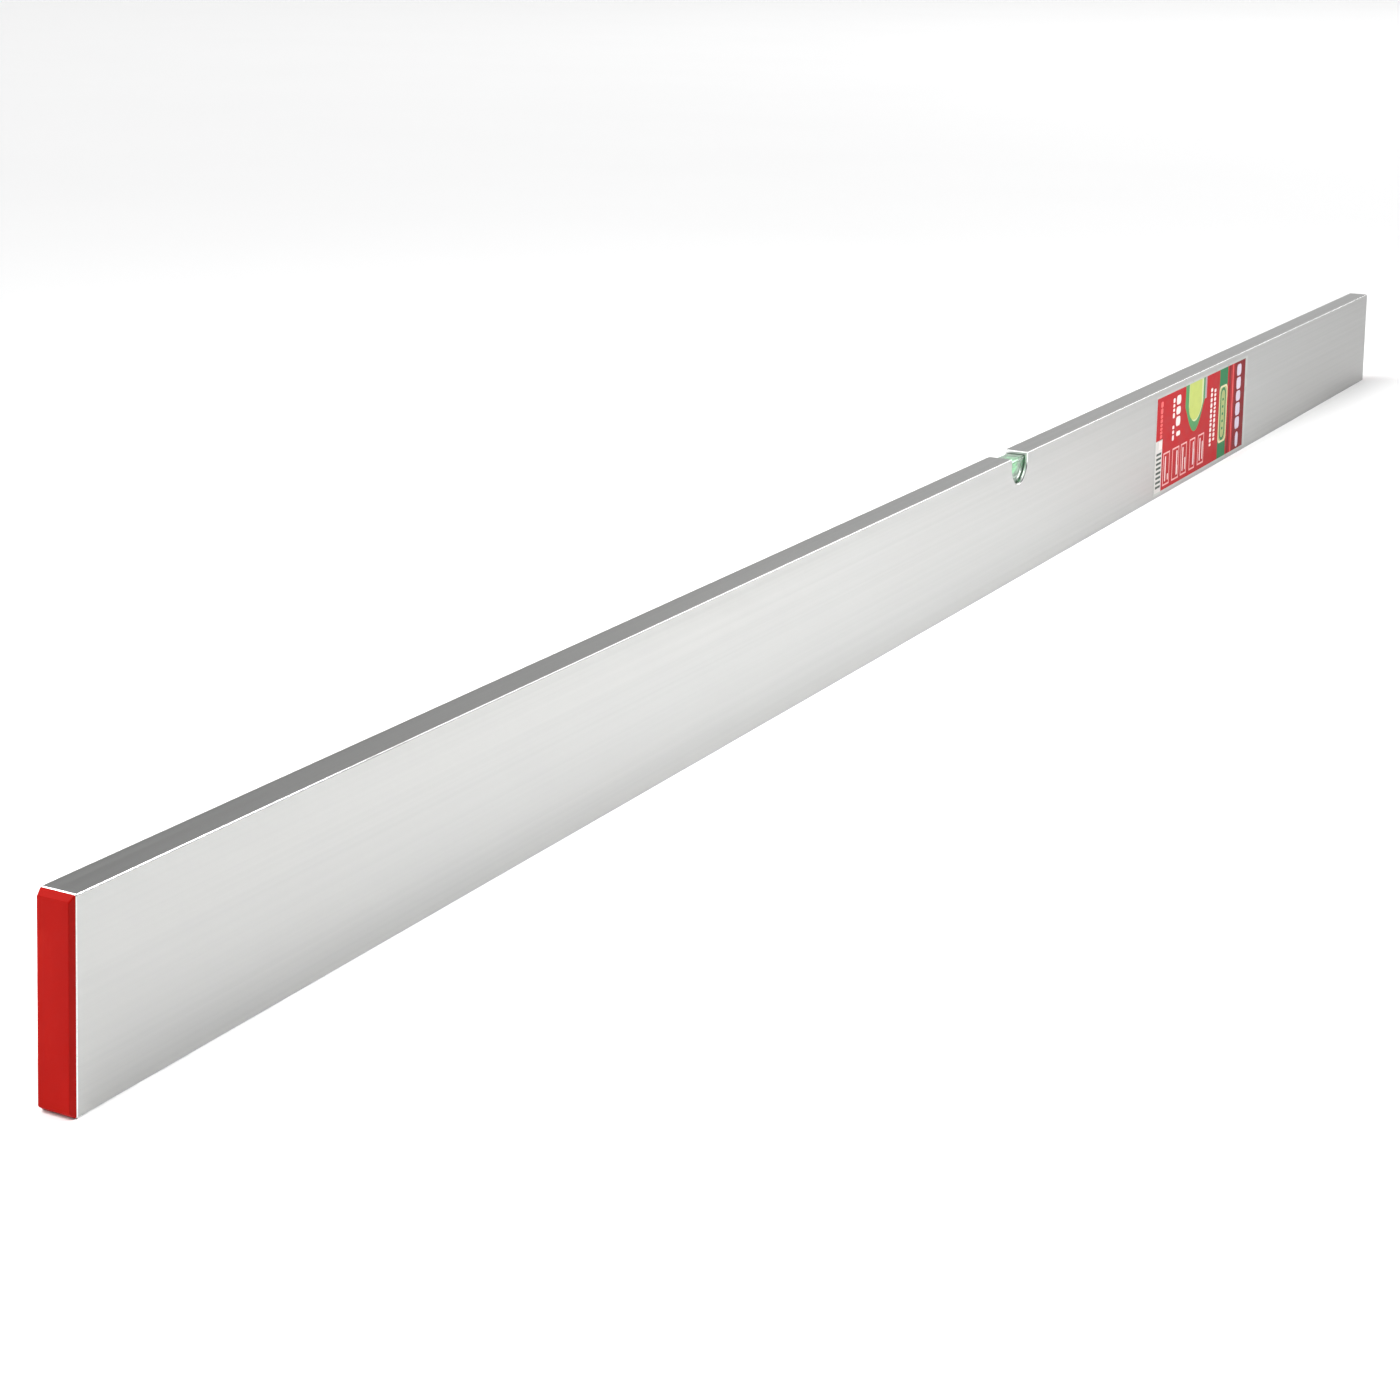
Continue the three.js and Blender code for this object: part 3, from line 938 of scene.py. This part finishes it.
def print_code(inks):
    """A pale patch with a few even bars, which encode nothing."""
    patch = bar(FIELD_LEFT, FIELD_BOTTOM, CODE_RIGHT, CODE_TOP - 0.3)
    ink("label_code_patch", [patch], 1, inks["patch"])
    ink("label_code_block", [bar(9.5, 37.5, 17.5, CODE_TOP - 1)], 2, inks["white"])
    lines = [bar(4.0, 5.6 + 3.9 * k, 16.5, 7.6 + 3.9 * k) for k in range(8)]
    ink("label_code_lines", lines, 2, inks["black"])


def make_label():
    film = printed("clear_film", (0.5, 0.52, 0.5), (0.45, 0.47, 0.45), 0.3)
    inks = {name: printed("ink_" + name, *colours) for name, colours in INK_COLOURS.items()}
    make_film(film)
    print_ground(inks)
    print_band(inks)
    print_picture(inks)
    print_marks(inks)
    print_code(inks)


# ---------------------------------------------------------------- stage

FLOOR_HALF = 40.0

# Stops of (place, grey). By height, place is 0 at the horizon and 1 straight up.
SKY_BY_HEIGHT = ((0.0, 0.95), (0.12, 0.95), (0.25, 0.45), (0.4, 0.25), (0.75, 0.45))
# By side, place is 0 where the labelled face looks and 1 behind the level.
SKY_BY_SIDE = ((0.48, 0.08), (0.54, 1.6), (0.65, 1.6), (0.74, 0.92), (0.8, 0.75), (0.9, 1.05))
# The horizon is this strong all round, up to the first height, and fades out by the second.
HORIZON_STRENGTH = 1.05
HORIZON_FADE = (0.05, 0.08)

SUN_POWER = 2.7
SUN_WIDTH = 50.0
SUN_TRAVEL = (0.75, -0.4, -1.0)

# Rectangular lamps: name, position, target, size, watts.
PANELS = (
    ("near_panel", (-0.22, -0.5, 1.1), (-0.22, -0.2, 0), (1.2, 0.4), 22),
    ("left_panel", (-1.3, 0.4, 0.8), (-1.0, 0, 0), (0.4, 0.4), 3),
    ("back_panel", (11.0, -2.0, 7.0), (10.0, 4.0, 0), (6.0, 4.0), 190),
    ("edge_panel", (9.1, -2.3, 3.6), (0, 0, 0.05), (4.0, 3.4), 95),
)

CAMERA_PLACE = (-1.75831, -0.66917, 0.4674)
CAMERA_YAW, CAMERA_PITCH, CAMERA_ROLL = 27.631, -6.954, -1.371
CAMERA_LENS = 68.77
CAMERA_SENSOR = 36.0
CAMERA_SHIFT = -0.33
CAMERA_REACH = 200.0


def make_floor():
    bm = bmesh.new()
    bmesh.ops.create_grid(bm, x_segments=1, y_segments=1, size=FLOOR_HALF)
    floor = new_object("floor", bm)
    s = Shader("pale_floor", (0.93, 0.93, 0.93), 0.7)
    mottle = s.spread(s.noise((1.5, 1.5, 1.5), detail=2), 0.0, 1.0)
    s.feed("Base Color", s.mix(mottle, (0.925, 0.925, 0.925), (0.935, 0.935, 0.935)))
    floor.data.materials.append(s.material)


def grey_stops(ramp, stops):
    elements = ramp.color_ramp.elements
    while len(elements) < len(stops):
        elements.new(0.5)
    for element, (at, grey) in zip(elements, stops):
        element.position = at
        element.color = (grey, grey, grey, 1.0)


def make_world():
    """White round the horizon, greyer overhead and on the side that the label faces."""
    world = bpy.data.worlds.new("studio")
    bpy.context.scene.world = world
    world.use_nodes = True
    tree = world.node_tree
    tree.nodes.clear()
    place = tree.nodes.new("ShaderNodeTexCoord")
    split = tree.nodes.new("ShaderNodeSeparateXYZ")
    across = tree.nodes.new("ShaderNodeMapRange")
    by_height = tree.nodes.new("ShaderNodeValToRGB")
    by_side = tree.nodes.new("ShaderNodeValToRGB")
    horizon = tree.nodes.new("ShaderNodeMapRange")
    brighter = tree.nodes.new("ShaderNodeMath")
    background = tree.nodes.new("ShaderNodeBackground")
    output = tree.nodes.new("ShaderNodeOutputWorld")
    across.inputs["From Min"].default_value = -1.0
    horizon.inputs["From Min"].default_value = HORIZON_FADE[0]
    horizon.inputs["From Max"].default_value = HORIZON_FADE[1]
    horizon.inputs["To Min"].default_value = HORIZON_STRENGTH
    horizon.inputs["To Max"].default_value = 0.0
    brighter.operation = "MAXIMUM"
    grey_stops(by_height, SKY_BY_HEIGHT)
    grey_stops(by_side, SKY_BY_SIDE)
    tree.links.new(place.outputs["Generated"], split.inputs[0])
    tree.links.new(split.outputs["Z"], by_height.inputs["Fac"])
    tree.links.new(split.outputs["Y"], across.inputs["Value"])
    tree.links.new(across.outputs[0], by_side.inputs["Fac"])
    tree.links.new(split.outputs["Z"], horizon.inputs["Value"])
    tree.links.new(by_side.outputs["Color"], brighter.inputs[0])
    tree.links.new(horizon.outputs[0], brighter.inputs[1])
    tree.links.new(by_height.outputs["Color"], background.inputs["Color"])
    tree.links.new(brighter.outputs[0], background.inputs["Strength"])
    tree.links.new(background.outputs[0], output.inputs["Surface"])


def add_lamp(name, data, travel):
    """Puts a lamp in the scene that shines along travel."""
    lamp = bpy.data.objects.new(name, data)
    lamp.rotation_euler = Vector(travel).to_track_quat("-Z", "Y").to_euler()
    bpy.context.scene.collection.objects.link(lamp)
    return lamp


def make_lights():
    sun = bpy.data.lights.new("sky_panel", "SUN")
    sun.energy = SUN_POWER
    sun.angle = math.radians(SUN_WIDTH)
    add_lamp("sky_panel", sun, SUN_TRAVEL)
    for name, position, target, size, power in PANELS:
        panel = bpy.data.lights.new(name, "AREA")
        panel.shape = "RECTANGLE"
        panel.size, panel.size_y = size
        panel.energy = power
        add_lamp(name, panel, Vector(target) - Vector(position)).location = position


def make_camera():
    data = bpy.data.cameras.new("camera")
    data.lens = CAMERA_LENS
    data.sensor_width = CAMERA_SENSOR
    data.shift_y = CAMERA_SHIFT
    data.clip_end = CAMERA_REACH
    camera = bpy.data.objects.new("camera", data)
    yaw, pitch, roll = (math.radians(a) for a in (CAMERA_YAW, CAMERA_PITCH, CAMERA_ROLL))
    ahead = math.cos(pitch)
    forward = Vector((ahead * math.cos(yaw), ahead * math.sin(yaw), math.sin(pitch)))
    right = forward.cross(Vector((0, 0, 1))).normalized()
    up = right.cross(forward)
    level = Matrix((right, up, -forward)).transposed().to_quaternion()
    camera.rotation_mode = "QUATERNION"
    camera.rotation_quaternion = Quaternion(forward, roll) @ level
    camera.location = CAMERA_PLACE
    bpy.context.scene.collection.objects.link(camera)
    bpy.context.scene.camera = camera


# ---------------------------------------------------------------- build

make_camera()
make_lights()
make_world()
make_floor()

make_profile()
plastic = cap_plastic()
make_cap("end_cap_left", -1, plastic)
make_cap("end_cap_right", 1, plastic)

acrylic = clear("clear_acrylic", (0.62, 0.95, 0.7), ACRYLIC_IOR, cloudy=0.13)
make_vial_block(acrylic, clear("wetted_acrylic", (1.0, 1.0, 1.0), ACRYLIC_IOR / LIQUID_IOR))
make_vial_plug(clear("plug_in_liquid", (0.7, 0.95, 0.75), 1.02, cloudy=0.2))
make_fluid(clear("green_liquid", (0.14, 0.62, 0.26), 1.0, cloudy=0.22))
# The bubble's pale cloudy share is a painted highlight standing in for the bright reflection on the
# bubble.
make_bubble(clear("air_in_liquid_painted_highlight", (0.85, 1.0, 0.82), 1.0 / LIQUID_IOR, cloudy=0.4))
black = ring_black()
for ring in ("ring_line_left", "ring_line_right"):
    make_ring(ring, black)
resin = adhesive_resin()
make_adhesive("adhesive_left", -1, resin)
make_adhesive("adhesive_right", 1, resin)
make_label()

bpy.context.scene.view_settings.view_transform = "Standard"
